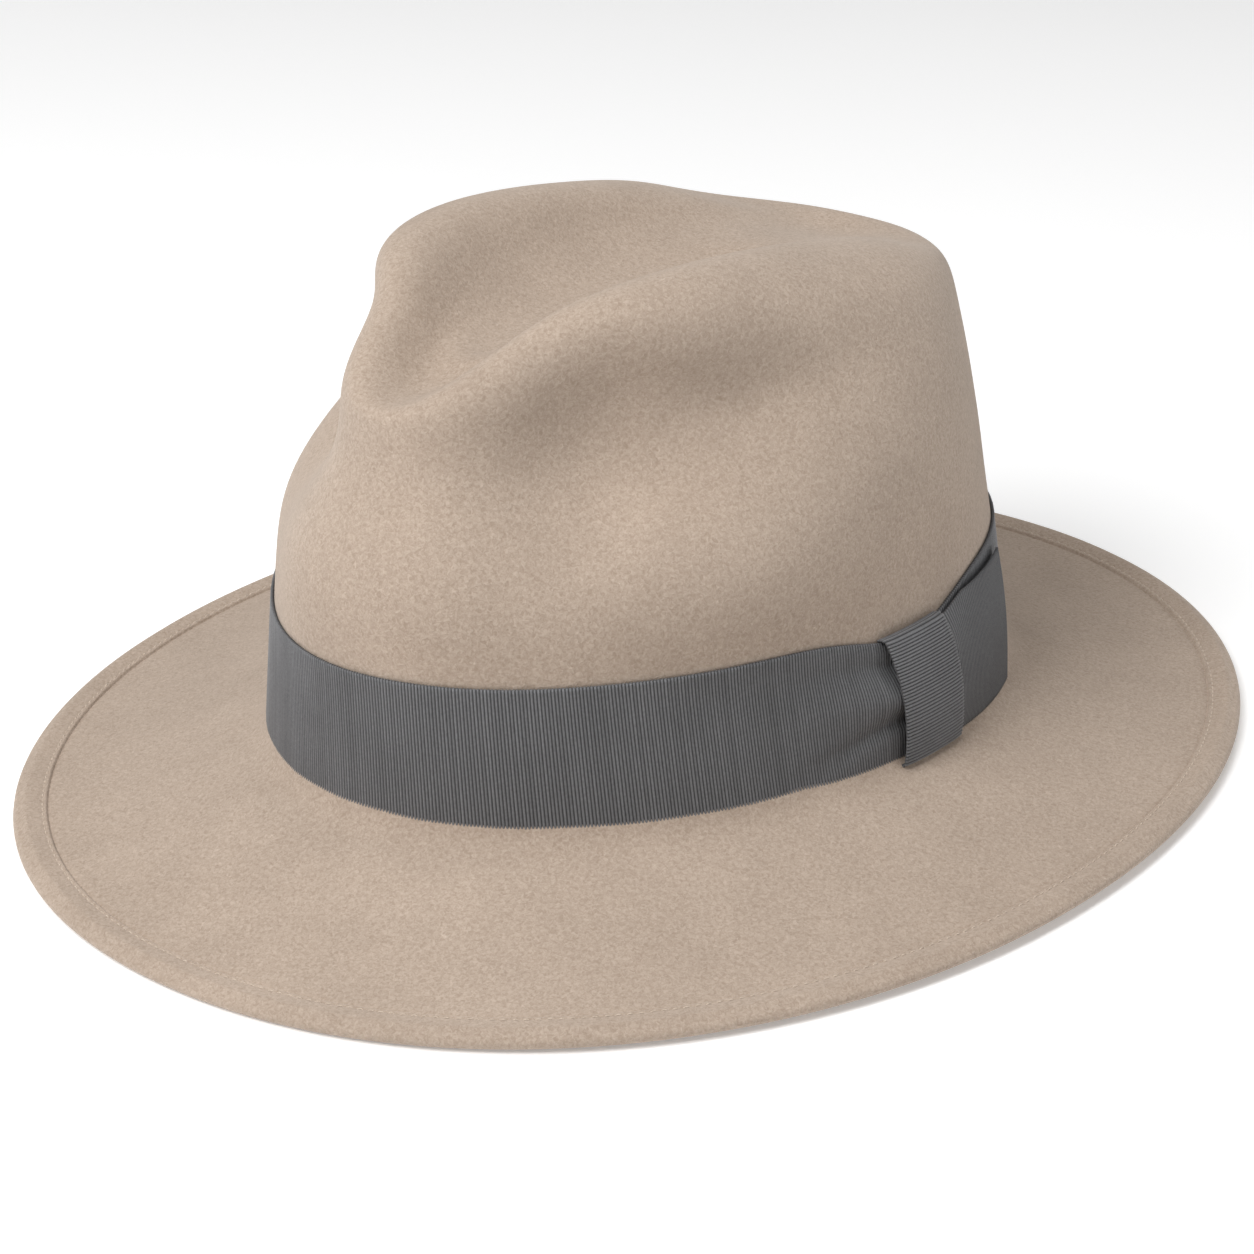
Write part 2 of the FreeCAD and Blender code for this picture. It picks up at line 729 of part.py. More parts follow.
NODES = [
    "felt_body",
    "brim_stitching",
    "hatband",
    "bow_knot",
    "bow_tail",
    "lining_side",
    "lining_tip",
    "sweatband",
    "sweatband_reed",
    "sweatband_stitching",
    "sweatband_rear_bow",
]
for item in doc.Objects:
    state = [word for word in item.State if word in ("Invalid", "Error")]
    if state:
        raise RuntimeError("%s is in state %s" % (item.Label, state))
for name in NODES:
    item = doc.getObject(name)
    shape = item.Shape
    if shape.isNull() or not shape.isValid():
        raise RuntimeError("%s has no valid shape" % name)
    shape.exportStep("parts/%s.step" % name)
    box = shape.BoundBox
    print("%-22s %7.1f %7.1f %7.1f  z %6.1f to %6.1f  volume %9.0f" % (
        name, box.XLength, box.YLength, box.ZLength, box.ZMin, box.ZMax, shape.Volume))
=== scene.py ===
import bmesh
import bpy
import math
import numpy as np
from mathutils import Matrix, Vector


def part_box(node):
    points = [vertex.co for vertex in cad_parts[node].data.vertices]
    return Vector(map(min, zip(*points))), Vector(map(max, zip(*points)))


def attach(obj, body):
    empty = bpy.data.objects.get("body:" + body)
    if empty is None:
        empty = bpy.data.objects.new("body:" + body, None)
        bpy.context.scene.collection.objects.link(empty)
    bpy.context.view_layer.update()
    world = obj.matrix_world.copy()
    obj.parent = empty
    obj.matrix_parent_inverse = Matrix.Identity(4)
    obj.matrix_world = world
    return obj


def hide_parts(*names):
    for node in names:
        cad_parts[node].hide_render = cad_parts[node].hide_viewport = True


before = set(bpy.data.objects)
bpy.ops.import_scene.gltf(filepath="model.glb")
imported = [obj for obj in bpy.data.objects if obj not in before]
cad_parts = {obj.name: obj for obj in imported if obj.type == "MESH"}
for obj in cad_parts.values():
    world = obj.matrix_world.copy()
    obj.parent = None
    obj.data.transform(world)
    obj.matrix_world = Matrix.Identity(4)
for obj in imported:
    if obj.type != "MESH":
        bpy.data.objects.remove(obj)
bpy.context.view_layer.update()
rng = np.random.default_rng(7)
MM = 0.001
PI = math.pi

# ------------------------------------------------------------ sizes, mm, as in the CAD model
LENGTH, WIDTH, HEIGHT = 105.0, 86.5, 102.0
BRIM_FRONT, BRIM_SIDE = 63.2, 58.8
DROP, SADDLE = 15.5, 0.8
FELT, WELT, WELT_RISE = 2.2, 6.5, 1.6
BAND_TOP, BAND_LOW, BAND_T, BAND_GAP = 37.3, 0.6, 0.7, 0.3
RIBBON_CLEAR = 0.3
GATHER_PULL, GATHER_SWELL, KNOT_ANGLE, GATHER_SPREAD = 7.4, 1.6, 5.6, 13.0
KNOT_WIDTH, KNOT_CROWN, KNOT_LIFT = 19.0, 1.6, 0.5
TAIL_HEIGHT, TAIL_LENGTH, TAIL_SLANT = 34.0, 39.0, 2.0
SWEAT_H, LEATHER, LINING, LINING_GAP, REED = 54.0, 1.0, 0.4, 0.4, 2.2
EGG, CROWN_PITCH, CROWN_SHIFT = 0.055, -1.7, -1.57
SQUARENESS, BRIM_EGG = 2.06, -0.023
EDGE_ROUND = 0.5 * (FELT + WELT_RISE)
BREAK_HEIGHT = DROP + SADDLE + EDGE_ROUND
BRIM_L, BRIM_W = LENGTH + BRIM_FRONT, WIDTH + BRIM_SIDE

# crown rows, as shares of the sizes above, from the brim break to the crease floor:
# length, width, offset, height, front, back, egg, pinch
ROWS = np.array([
    (1.000, 1.000, 0.000, 0.000, 0.000, 0.000, EGG, 0.000),
    (0.997, 0.917, 0.000, 0.363, 0.000, 0.000, EGG, 0.000),
    (0.986, 0.906, -0.025, 0.588, 0.000, 0.000, EGG, 0.037),
    (0.882, 0.864, 0.020, 0.844, -0.050, -0.030, EGG, 0.169),
    (0.894, 0.770, 0.031, 1.135, -0.214, -0.099, 0.010, 0.118),
    (0.816, 0.416, -0.039, 1.298, -0.325, -0.331, 0.030, 0.084),
    (0.628, 0.313, -0.025, 1.116, -0.162, -0.098, 0.180, 0.021),
    (0.503, 0.162, -0.064, 1.030, -0.007, 0.000, 0.000, 0.000),
    (0.402, 0.058, -0.079, 0.997, 0.000, 0.000, 0.000, 0.000),
])
LAST = len(ROWS) - 1
FRONT_SHARP, BACK_SHARP = 6.8, 3.0
PINCH_AT, PINCH_SPREAD = 39.6, 17.0
# depth of the sides' hollows, percent of the height: one line for each half row, going up,
# and one column for each 18 degrees, from 36 degrees round from the front
SIDE_ROW, SIDE_ROW_STEP, SIDE_ANGLE, SIDE_ANGLE_STEP = 1.5, 0.5, 36.0, 18.0
SIDE_FORM = np.array([
    (0.9, -3.9, -4.2, -0.7, -0.8, 0.5, 0.7),
    (-0.1, -1.9, -3.7, -1.5, -1.0, 0.4, 0.5),
    (0.6, 4.6, 0.3, -1.7, -1.0, 0.6, 0.4),
    (5.3, 12.9, 9.7, 2.3, -1.0, 0.1, 0.9),
    (6.2, 14.2, 16.6, 6.2, -0.3, 1.4, 1.0),
    (2.5, 5.8, 6.2, 2.6, -0.7, -1.5, -0.6),
    (-1.1, -1.7, -1.1, 0.9, 0.8, -1.1, 4.3),
])


def bell(value, centre, spread):
    return np.exp(-((value - centre) / spread) ** 2)


def ease(value):
    t = np.clip(value, 0.0, 1.0)
    return t * t * (3.0 - 2.0 * t)


def front_angle(th):
    """Degrees round from the front, the same on both sides. Angles th run from +X, in radians."""
    return np.degrees(np.arccos(np.clip(-np.sin(th), -1.0, 1.0)))


def control_rows(th):
    """Control points of every crown row at the angles th: (rows + 2, n, 3), crown frame."""
    s, c = np.sin(th), np.cos(th)
    front = ((1 - s) / 2) ** FRONT_SHARP
    back = ((1 + s) / 2) ** BACK_SHARP
    away = front_angle(th)
    pinch = bell(away, PINCH_AT, PINCH_SPREAD)
    pinch = pinch - 0.5 * bell(away, 0, PINCH_SPREAD) * bell(PINCH_AT, 0, PINCH_SPREAD)
    out = []
    for length, width, offset, height, f, b, egg, depth in ROWS:
        a, w = length * LENGTH, width * WIDTH
        keep = 1 - depth * WIDTH * pinch / np.hypot(a * s, w * c)
        x = w * c * (1 + egg * s) * keep
        y = a * s * keep + offset * LENGTH
        z = (height + f * front + b * back) * HEIGHT
        out.append(np.stack([x, y, z], -1))
    out = [2 * out[0] - out[1]] + out + [2 * out[-1] - out[-2]]
    return np.array(out)


def smooth_point(v, th):
    """Points of the B-spline through the crown rows, without the sides' hollows."""
    rows = control_rows(th)
    k = np.clip(v.astype(int), 0, LAST - 1)
    t = (v - k)[:, None]
    i = np.arange(len(v))
    return (rows[k, i] * (1 - t) ** 3 / 6
            + rows[k + 1, i] * (3 * t ** 3 - 6 * t * t + 4) / 6
            + rows[k + 2, i] * (-3 * t ** 3 + 3 * t * t + 3 * t + 1) / 6
            + rows[k + 3, i] * t ** 3 / 6)


def normal_of(surface, v, th):
    low, high = np.maximum(v - 0.02, 0), np.minimum(v + 0.02, LAST)
    along = surface(v, th + 0.01) - surface(v, th - 0.01)
    up = surface(high, th) - surface(low, th)
    n = np.cross(along, up)
    return n / np.linalg.norm(n, axis=1, keepdims=True)


def weight(distance):
    """Cubic B-spline weight at a distance, in steps, from its middle."""
    d = np.abs(distance)
    return np.where(d < 1, 2 / 3 - d * d + d ** 3 / 2, np.where(d < 2, (2 - d) ** 3 / 6, 0.0))


def side_depth(v, th):
    """Depth of the hollow, or height of the bulge where negative, of the crown's sides."""
    row = (v - SIDE_ROW) / SIDE_ROW_STEP
    col = (front_angle(th) - SIDE_ANGLE) / SIDE_ANGLE_STEP
    rows = np.stack([weight(row - i) for i in range(SIDE_FORM.shape[0])])
    cols = np.stack([weight(col - j) for j in range(SIDE_FORM.shape[1])])
    return np.einsum("in,jn,ij->n", rows, cols, SIDE_FORM) * HEIGHT / 100


def crown_point(v, th):
    return smooth_point(v, th) - normal_of(smooth_point, v, th) * side_depth(v, th)[:, None]


def pair(v, th):
    v, th = np.broadcast_arrays(np.asarray(v, float), np.asarray(th, float))
    return v.ravel().copy(), th.ravel().copy()


def inside(v, th, depth=0.0):
    """Points the given depth inside the crown's outer surface, crown frame."""
    v, th = pair(v, th)
    out = normal_of(crown_point, v, th)
    flat = ease((v - LAST + 0.8) / 0.8)[:, None]
    out = out * (1 - flat) + np.array([0, 0, 1.0]) * flat
    level = out * np.array([1, 1, 0])
    level /= np.maximum(np.linalg.norm(level, axis=1, keepdims=True), 1e-6)
    upright = ease((0.5 - v) / 0.5)[:, None]
    out = out * (1 - upright) + level * upright
    out /= np.linalg.norm(out, axis=1, keepdims=True)
    return crown_point(v, th) - out * np.broadcast_to(depth, v.shape)[:, None]


def to_hat(p):
    """From the crown's frame to the hat's: tilted, moved back and raised."""
    tilt = math.radians(CROWN_PITCH)
    y = p[:, 1] * math.cos(tilt) - p[:, 2] * math.sin(tilt)
    z = p[:, 1] * math.sin(tilt) + p[:, 2] * math.cos(tilt)
    return np.stack([p[:, 0], y + CROWN_SHIFT, z + BREAK_HEIGHT], 1)


V_TABLE = np.linspace(0, 3, 241)
Z_TABLE = crown_point(V_TABLE, np.zeros_like(V_TABLE))[:, 2]


def wall(th, height, out):
    """Points at a height on the crown's lower wall, moved out of it, hat frame."""
    th, height, out = np.broadcast_arrays(th, height, out)
    v = np.interp(height.ravel(), Z_TABLE, V_TABLE)
    return to_hat(inside(v, th.ravel(), -out.ravel())).reshape(th.shape + (3,))


def brim_edge(th, inset=0.0):
    """Middle line of the brim's rim."""
    power = 2 / SQUARENESS
    c, s = np.cos(th), np.sin(th)
    x = (BRIM_W - inset) * np.sign(c) * np.abs(c) ** power * (1 + BRIM_EGG * s)
    y = (BRIM_L - inset) * np.sign(s) * np.abs(s) ** power
    return np.stack([x, y, EDGE_ROUND + SADDLE * (1 + np.cos(2 * th))], 1)


def brim_point(th, share, lift=0.0):
    """Points on the brim's upper side: share 0 at the break and 1 at the rim."""
    start = to_hat(inside(0.0, th))
    p = start + (brim_edge(th) - start) * share
    p[:, 2] += -0.12 * DROP * 4 * share * (1 - share) + 0.5 * FELT * share ** 4 + lift
    return p


def brim_share(inset):
    """Share of the brim's depth at a distance in from the rim."""
    return 1 - inset / (0.5 * (BRIM_FRONT + BRIM_SIDE))


# ------------------------------------------------------------ mesh helpers
def new_object(name, verts, faces, material, rib_shade=None):
    """Closed smooth mesh from points in mm; the optional last argument gives the ribbon's painted
    groove shade for each point, stored as a point attribute.
    """
    mesh = bpy.data.meshes.new(name)
    mesh.from_pydata((np.asarray(verts) * MM).tolist(), [], faces)
    mesh.polygons.foreach_set("use_smooth", [True] * len(mesh.polygons))
    # the ribbon's painted groove shade, one value for each point
    if rib_shade is not None:
        layer = mesh.attributes.new("rib_shade", "FLOAT", "POINT")
        layer.data.foreach_set("value", rib_shade)
    mesh.materials.append(material)
    mesh.update()
    # faces look outward
    shape = bmesh.new()
    shape.from_mesh(mesh)
    if shape.calc_volume(signed=True) < 0:
        mesh.flip_normals()
    shape.free()
    obj = bpy.data.objects.new(name, mesh)
    bpy.context.scene.collection.objects.link(obj)
    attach(obj, "root")
    return obj


def grid_faces(rows, cols, close_rows, close_cols, start=0):
    """Faces of a grid of points; closing joins the last row or column to the first."""
    faces = []
    for i in range(rows if close_rows else rows - 1):
        a, b = start + i * cols, start + ((i + 1) % rows) * cols
        for j in range(cols if close_cols else cols - 1):
            k = (j + 1) % cols
            faces.append((a + j, a + k, b + k, b + j))
    return faces


def mirror_cap(start, cols, flip):
    """Faces that close a loop by joining each point to its mirror image across X = 0."""
    half = cols // 2
    faces = []
    for i in range(-cols // 4, cols // 4):
        a, b = i % cols, (i + 1) % cols
        ma, mb = (half - i) % cols, (half - i - 1) % cols
        quad = [start + a, start + b, start + mb, start + ma]
        quad = [q for n, q in enumerate(quad) if q not in quad[:n]]
        if len(quad) > 2:
            faces.append(tuple(reversed(quad)) if flip else tuple(quad))
    return faces


def ring_angles(cols):
    return np.arange(cols) * 2 * PI / cols


def run_length(points):
    """Length along a line of points, from its start to each point."""
    steps = np.linalg.norm(np.diff(points, axis=0), axis=1)
    return np.concatenate([[0], np.cumsum(steps)])


def along_line(points, length, at):
    """Points of a line at the lengths along it."""
    return np.stack([np.interp(at, length, column) for column in points.T], 1)


def easing(part, across, along):
    """Moves that pull a grid's inner rows toward their neighbours."""
    middle = part[1:-1]
    beside = 0.5 * (np.roll(middle, 1, 1) + np.roll(middle, -1, 1))
    before_after = 0.5 * (part[:-2] + part[2:])
    return along * beside + across * before_after - (along + across) * middle


# ------------------------------------------------------------ materials
class Nodes:
    """Short-hand for building a node material."""

    def __init__(self, name):
        self.material = bpy.data.materials.new(name)
        self.material.use_nodes = True
        self.tree = self.material.node_tree
        self.shader = self.tree.nodes["Principled BSDF"]

    def add(self, kind, inputs=None, **settings):
        node = self.tree.nodes.new(kind)
        for key, value in settings.items():
            setattr(node, key, value)
        for key, value in (inputs or {}).items():
            socket = node.inputs[key]
            if isinstance(value, bpy.types.NodeSocket):
                self.tree.links.new(value, socket)
            else:
                socket.default_value = value
        return node

    def link(self, source, target):
        self.tree.links.new(source, target)

    def coords(self):
        return self.add("ShaderNodeTexCoord").outputs["Object"]

    def noise(self, vector, scale, detail=3.0, rough=0.55, distortion=0.0, kind="FBM"):
        node = self.add("ShaderNodeTexNoise", noise_dimensions="3D")
        node.noise_type = kind
        self.link(vector, node.inputs["Vector"])
        node.inputs["Scale"].default_value = scale
        node.inputs["Detail"].default_value = detail
        node.inputs["Roughness"].default_value = rough
        node.inputs["Distortion"].default_value = distortion
        return node.outputs[0]

    def ramp(self, fac, stops):
        node = self.add("ShaderNodeValToRGB")
        self.link(fac, node.inputs["Fac"])
        ramp = node.color_ramp
        while len(ramp.elements) < len(stops):
            ramp.elements.new(0.5)
        for element, (position, colour) in zip(ramp.elements, stops):
            element.position = position
            element.color = (*colour, 1.0)
        return node.outputs["Color"]

    def mix(self, fac, a, b, mode="MIX"):
        node = self.add("ShaderNodeMix", data_type="RGBA", blend_type=mode)
        for key, value in ((0, fac), (6, a), (7, b)):
            if isinstance(value, bpy.types.NodeSocket):
                self.link(value, node.inputs[key])
            else:
                node.inputs[key].default_value = value
        return node.outputs[2]

    def math(self, operation, a, b=0.0):
        node = self.add("ShaderNodeMath", operation=operation)
        for key, value in ((0, a), (1, b)):
            if isinstance(value, bpy.types.NodeSocket):
                self.link(value, node.inputs[key])
            else:
                node.inputs[key].default_value = value
        return node.outputs[0]

    def bump(self, height, strength, distance, normal=None):
        node = self.add("ShaderNodeBump")
        self.link(height, node.inputs["Height"])
        node.inputs["Strength"].default_value = strength
        node.inputs["Distance"].default_value = distance
        if normal is not None:
            self.link(normal, node.inputs["Normal"])
        return node.outputs["Normal"]

    def finish(self, colour=None, normal=None, **sockets):
        if colour is not None:
            self.link(colour, self.shader.inputs["Base Color"])
        if normal is not None:
            self.link(normal, self.shader.inputs["Normal"])
        for key, value in sockets.items():
            self.shader.inputs[key.replace("_", " ")].default_value = value
        return self.material


def grey(value, tint=(1.0, 1.0, 1.0)):
    return tuple(value * t for t in tint)


def felt_material():
    n = Nodes("felt")
    at = n.coords()
    fibre = n.noise(at, 620, 4.0, 0.62, 1.6, "RIDGED_MULTIFRACTAL")
    grain = n.noise(at, 1150, 3.0, 0.6, 0.9)
    cloud = n.noise(at, 46, 3.0, 0.5)
    nap = n.noise(at, 210, 2.0, 0.5, 0.4)
    base = n.ramp(grain, [(0.32, (0.381, 0.295, 0.229)), (0.68, (0.539, 0.440, 0.361))])
    worm = n.ramp(fibre, [(0.25, (0.90, 0.89, 0.88)), (0.85, (1.10, 1.11, 1.12))])
    base = n.mix(1.0, base, worm, "MULTIPLY")
    tone = n.ramp(cloud, [(0.3, (0.955, 0.950, 0.945)), (0.7, (1.045, 1.045, 1.045))])
    base = n.mix(1.0, base, tone, "MULTIPLY")
    height = n.math("ADD", n.math("MULTIPLY", fibre, 0.45), n.math("MULTIPLY", grain, 0.6))
    height = n.math("ADD", height, n.math("MULTIPLY", nap, 0.8))
    normal = n.bump(height, 0.55, 0.00045)
    return n.finish(base, normal, Roughness=0.92, Sheen_Weight=0.25, Sheen_Roughness=0.55,
                    Sheen_Tint=(1.0, 0.94, 0.88, 1.0), Specular_IOR_Level=0.25)


def ribbon_material(name):
    """Grosgrain: the ribs are real geometry; a point attribute is 0 in the grooves and 1 on the
    ribs' crests, and the colour follows it, so that the grooves are painted darker as painted
    shade.
    """
    n = Nodes(name)
    at = n.coords()
    rib_shade = n.add("ShaderNodeAttribute", attribute_name="rib_shade").outputs["Fac"]
    fleck = n.noise(at, 1500, 2.0, 0.6)
    cloud = n.noise(at, 60, 2.0, 0.5)
    # painted shade: the colour is darkest in the grooves and lightest on the ribs' crests
    base = n.ramp(rib_shade, [(0.0, grey(0.024)), (0.45, grey(0.088, (0.985, 0.99, 1.03))),
                        (1.0, grey(0.190, (0.985, 0.99, 1.03)))])
    base = n.mix(1.0, base, n.ramp(fleck, [(0.3, grey(0.86)), (0.7, grey(1.14))]), "MULTIPLY")
    base = n.mix(1.0, base, n.ramp(cloud, [(0.3, grey(0.93)), (0.7, grey(1.07))]), "MULTIPLY")
    normal = n.bump(fleck, 0.35, 0.00012)
    return n.finish(base, normal, Roughness=0.58, Sheen_Weight=0.15, Sheen_Roughness=0.4,
                    Specular_IOR_Level=0.35)


def leather_material():
    n = Nodes("sweatband_leather")
    at = n.coords()
    cells = n.add("ShaderNodeTexVoronoi", feature="F1", inputs={"Scale": 900.0, "Vector": at})
    pores = n.noise(at, 1400, 3.0, 0.6)
    cloud = n.noise(at, 70, 4.0, 0.6)
    base = n.ramp(cloud, [(0.3, (0.105, 0.052, 0.026)), (0.7, (0.175, 0.090, 0.047))])
    base = n.mix(1.0, base, n.ramp(pores, [(0.35, grey(0.8)), (0.65, grey(1.1))]), "MULTIPLY")
    normal = n.bump(cells.outputs["Distance"], 0.35, 0.00018)
    rough = n.ramp(pores, [(0.3, grey(0.36)), (0.7, grey(0.55))])
    n.link(rough, n.shader.inputs["Roughness"])
    return n.finish(base, n.bump(pores, 0.2, 0.0001, normal))


def satin_material():
    n = Nodes("lining_satin")
    at = n.coords()
    threads = {"Vector": at, "Scale": (260.0, 260.0, 3200.0)}
    stretched = n.add("ShaderNodeMapping", inputs=threads).outputs[0]
    weave = n.noise(stretched, 1.0, 2.0, 0.6)
    fold = n.noise(at, 34, 2.0, 0.5, 0.6)
    base = n.ramp(weave, [(0.3, (0.335, 0.285, 0.235)), (0.7, (0.430, 0.370, 0.310))])
    base = n.mix(1.0, base, n.ramp(fold, [(0.3, grey(0.93)), (0.7, grey(1.06))]), "MULTIPLY")
    normal = n.bump(weave, 0.25, 0.00008, n.bump(fold, 0.35, 0.0012))
    return n.finish(base, normal, Roughness=0.33, Anisotropic=0.55, Sheen_Weight=0.2)


def thread_material(name, dark, light):
    n = Nodes(name)
    at = n.coords()
    twist = n.noise(at, 2600, 2.0, 0.5, 0.3)
    base = n.ramp(twist, [(0.3, dark), (0.7, light)])
    return n.finish(base, n.bump(twist, 0.5, 0.0001), Roughness=0.6, Sheen_Weight=0.2)


def tape_material():
    n = Nodes("reed_cover_tape")
    at = n.coords()
    weave = n.noise(at, 1900, 2.0, 0.5)
    cloud = n.noise(at, 90, 2.0, 0.5)
    base = n.ramp(weave, [(0.3, (0.070, 0.045, 0.030)), (0.7, (0.125, 0.085, 0.058))])
    base = n.mix(1.0, base, n.ramp(cloud, [(0.3, grey(0.9)), (0.7, grey(1.1))]), "MULTIPLY")
    return n.finish(base, n.bump(weave, 0.5, 0.00015), Roughness=0.7)


def floor_material():
    n = Nodes("floor")
    at = n.coords()
    grain = n.noise(at, 3.0, 2.0, 0.5)
    base = n.ramp(grain, [(0.3, grey(0.90)), (0.7, grey(0.91))])
    # a faint glow keeps the ground near white, as in a studio
    return n.finish(base, Roughness=0.9, Specular_IOR_Level=0.1,
                    Emission_Color=(1.0, 1.0, 1.0, 1.0), Emission_Strength=0.24)


FELT_LOOK = felt_material()
RIBBON_LOOK = ribbon_material("grosgrain")
LEATHER_LOOK = leather_material()
SATIN_LOOK = satin_material()
FELT_THREAD = thread_material("felt_thread", (0.44, 0.35, 0.27), (0.66, 0.56, 0.46))
BROWN_THREAD = thread_material("sweatband_thread", (0.30, 0.21, 0.13), (0.46, 0.35, 0.24))
TAPE_LOOK = tape_material()


# ------------------------------------------------------------ felt body
# welt: distance in from the rim, and height over the brim. The folded edge's cut end makes
# a low step with the stitches in a groove, then the welt thickens to the rolled edge.
WELT_PROFILE = (
    (6.85, -0.10), (6.65, -0.16), (6.5, -0.05), (6.38, 0.35), (6.2, 0.62), (5.9, 0.72),
    (5.65, 0.70), (5.35, 0.55), (5.05, 0.70), (4.5, 0.88), (3.6, 1.10), (2.7, 1.32),
    (1.8, 1.52), (1.0, 1.62))
EASED_ROWS = 20


def felt_body():
    cols = 320
    th = ring_angles(cols)
    outer_v = np.linspace(LAST, 0.0, 129)
    rows = [to_hat(inside(v, th)) for v in outer_v]
    shares = np.linspace(0, 1, 41)[1:] * brim_share(WELT + 0.7)
    rows += [brim_point(th, s) for s in shares]
    rows += [brim_point(th, brim_share(inset), lift) for inset, lift in WELT_PROFILE]
    for turn in np.linspace(0.40, -0.5, 15) * PI:
        rim = brim_edge(th, 0.8 - 1.45 * EDGE_ROUND * max(math.cos(turn), 0))
        rim[:, 2] += EDGE_ROUND * 0.97 * math.sin(turn)
        rows.append(rim)
    rows += [brim_point(th, brim_share(inset), -FELT) for inset in (2.4, 4.0, 6.0, 9.0)]
    rows += [brim_point(th, s, -FELT) for s in np.linspace(brim_share(14.0), 0.03, 26)]
    rows.append(to_hat(inside(0.0, th, FELT) - np.array([0, 0, FELT])))
    rows += [to_hat(inside(v, th, FELT)) for v in np.linspace(0.0, LAST, 65)]
    grid = np.array(rows)
    # ease the crease floor, across its middle too, so that it runs smoothly
    mirror = (cols // 2 - np.arange(cols)) % cols
    fade = np.linspace(1, 0, EASED_ROWS)[:, None, None]
    for _ in range(160):
        part = np.concatenate([grid[0][mirror][None], grid[:EASED_ROWS + 1]])
        grid[:EASED_ROWS] += fade * easing(part, 0.35, 0.25)
    # ease the brim break
    first, last = len(outer_v) - 3, len(outer_v) + 3
    for _ in range(15):
        grid[first:last] += easing(grid[first - 1:last + 1], 0.4, 0.1)
    count = len(rows)
    faces = [tuple(reversed(f)) for f in grid_faces(count, cols, False, True)]
    faces += mirror_cap(0, cols, False) + mirror_cap((count - 1) * cols, cols, True)
    obj = new_object("felt_hat", grid.reshape(-1, 3), faces, FELT_LOOK)
    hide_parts("felt_body")


STITCH_INSET = WELT - 1.15
STITCH_PITCH = 2.6
STITCH_RADIUS = 0.17


def stitches():
    """Short thread stitches along the welt's seam, upper side and underside."""
    fine = np.linspace(0, 2 * PI, 4001)[:-1]
    outline = np.array([0.35, 0.85, 1, 1, 1, 0.85, 0.35])
    points, sides = len(outline), 6
    for name, lift, out in (("upper", 0.55 + 0.10, 1), ("lower", -FELT - 0.12, -1)):
        line = brim_point(fine, brim_share(STITCH_INSET), lift)
        closed = np.vstack([line, line[:1]])
        length = run_length(closed)
        total = length[-1]
        count = int(total / STITCH_PITCH)
        verts, faces = [], []
        for k in range(count):
            start = (k + 0.5 * rng.uniform(-0.12, 0.12)) * total / count
            span = total / count * (0.60 + rng.uniform(-0.05, 0.05))
            at = start + span * np.linspace(0, 1, points)
            p = along_line(closed, length, at % total)
            p[:, 2] += (0.16 * np.sin(np.linspace(0, PI, points)) - 0.10) * out
            along = p[-1] - p[0]
            along /= np.linalg.norm(along)
            side = np.cross(along, [0, 0, 1.0])
            up = np.cross(side, along)
            radius = STITCH_RADIUS * outline
            base = len(verts)
            for i in range(points):
                for turn in np.arange(sides) * 2 * PI / sides:
                    flat = 1.25 * math.cos(turn) * side + math.sin(turn) * up
                    verts.append(p[i] + radius[i] * flat)
            faces += grid_faces(points, sides, False, True, base)
            faces.append(tuple(base + j for j in reversed(range(sides))))
            faces.append(tuple(base + (points - 1) * sides + j for j in range(sides)))
        new_object("brim_stitches_" + name, verts, faces, FELT_THREAD)
    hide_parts("brim_stitching")


# ------------------------------------------------------------ ribbon band
def signed(th):
    """The angle from -pi to pi."""
    return np.arctan2(np.sin(th), np.cos(th))


def gather(th):
    """How much the knot gathers the band: 1 under the knot, fading to 0 beside it."""
    return bell(np.degrees(signed(th)), KNOT_ANGLE, GATHER_SPREAD)


def band_low(th):
    return BAND_LOW + 0.12 * GATHER_PULL * gather(th)


def band_high(th):
    return BAND_TOP - GATHER_PULL * gather(th)


def band_swell(th, share):
    return GATHER_SWELL * gather(th) * math.sin(PI * share)


def even_angles(start, end, count, height=18.0, out=1.0):
    """Angles that divide the band evenly by length, and its whole length."""
    fine = np.linspace(start, end, 3001)
    s = run_length(wall(fine, height, out))
    return np.interp(np.linspace(0, s[-1], count), s, fine), s[-1]


RIB_PITCH = 0.86
KNOT_RIB_PITCH = 0.84
SMALL_RIB_PITCH = 0.8
RIB_STEPS = 6


def rib_wave(phase):
    """Rounded ribs with narrow grooves, 0 to 1."""
    return np.abs(np.sin(PI * phase)) ** 0.75


def at_edge(share):
    """1 on a ribbon's top edge, -1 on its bottom edge and 0 between."""
    return (share > 0.999) * 1.0 - (share < 0.001) * 1.0


